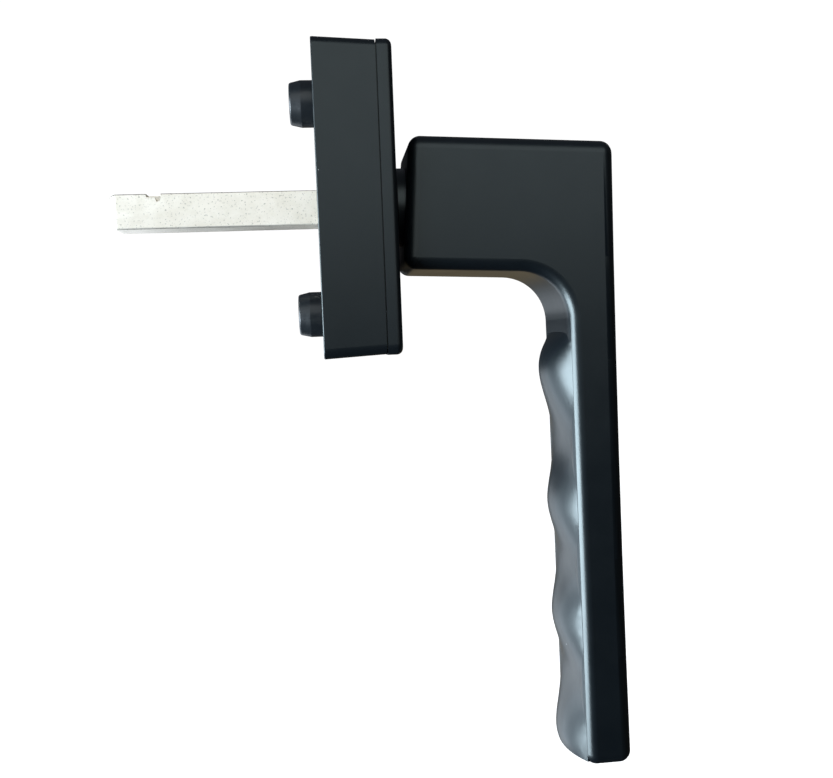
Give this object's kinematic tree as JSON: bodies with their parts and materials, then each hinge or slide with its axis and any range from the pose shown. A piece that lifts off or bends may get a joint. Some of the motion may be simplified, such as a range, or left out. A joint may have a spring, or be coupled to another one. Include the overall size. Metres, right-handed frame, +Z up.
{
  "type": "window handle",
  "caption": "Black tilt-and-turn window handle: L-shaped lever with finger waves on a rectangular rosette, square spindle and locating bosses behind.",
  "frame": {"origin": "middle of the rosette's back face, on the spindle's axis, midway between the two fixing screws", "axes": "+X along the spindle out of the window sash into the room, +Z up, grip hanging down along -Z when closed"},
  "size_m": [0.102, 0.03, 0.1484],
  "materials": {
    "black_coat": "satin powder coat",
    "zinc_steel": "zinc plated",
    "spring_steel": "blued spring steel",
    "black_nylon": "smooth moulded",
    "white_nylon": "smooth moulded",
    "black_rubber": "matt"
  },
  "bodies": {
    "rosette": {"base_casing": "black_coat", "base_plate": "black_nylon", "plate_screws": "zinc_steel", "front_bush": "black_nylon", "rear_bush": "white_nylon", "thrust_washer": "white_nylon", "spring_carrier": "black_nylon", "detent_spring_left": "spring_steel", "detent_spring_right": "spring_steel", "cap_snap_ring": "spring_steel"},
    "lever": {"lever_handle": "black_coat", "spindle": "zinc_steel", "spindle_pin": "spring_steel", "index_cam": "zinc_steel", "disc_spring": "spring_steel", "backing_washer": "zinc_steel", "retaining_ring": "spring_steel", "neck_seal": "black_rubber"},
    "cap": {"cover_cap": "black_coat", "cap_liner": "black_nylon"}
  },
  "joints": [
    {"name": "lever_turn", "type": "hinge", "parent": "rosette", "child": "lever", "pos_m": [0, 0, 0], "axis": [1, 0, 0], "continuous": true, "deforming": ["detent_spring_left", "detent_spring_right"]},
    {"name": "cap_swivel", "type": "hinge", "parent": "rosette", "child": "cap", "pos_m": [0, 0, 0], "axis": [1, 0, 0], "range_deg": [-90, 90]}
  ]
}
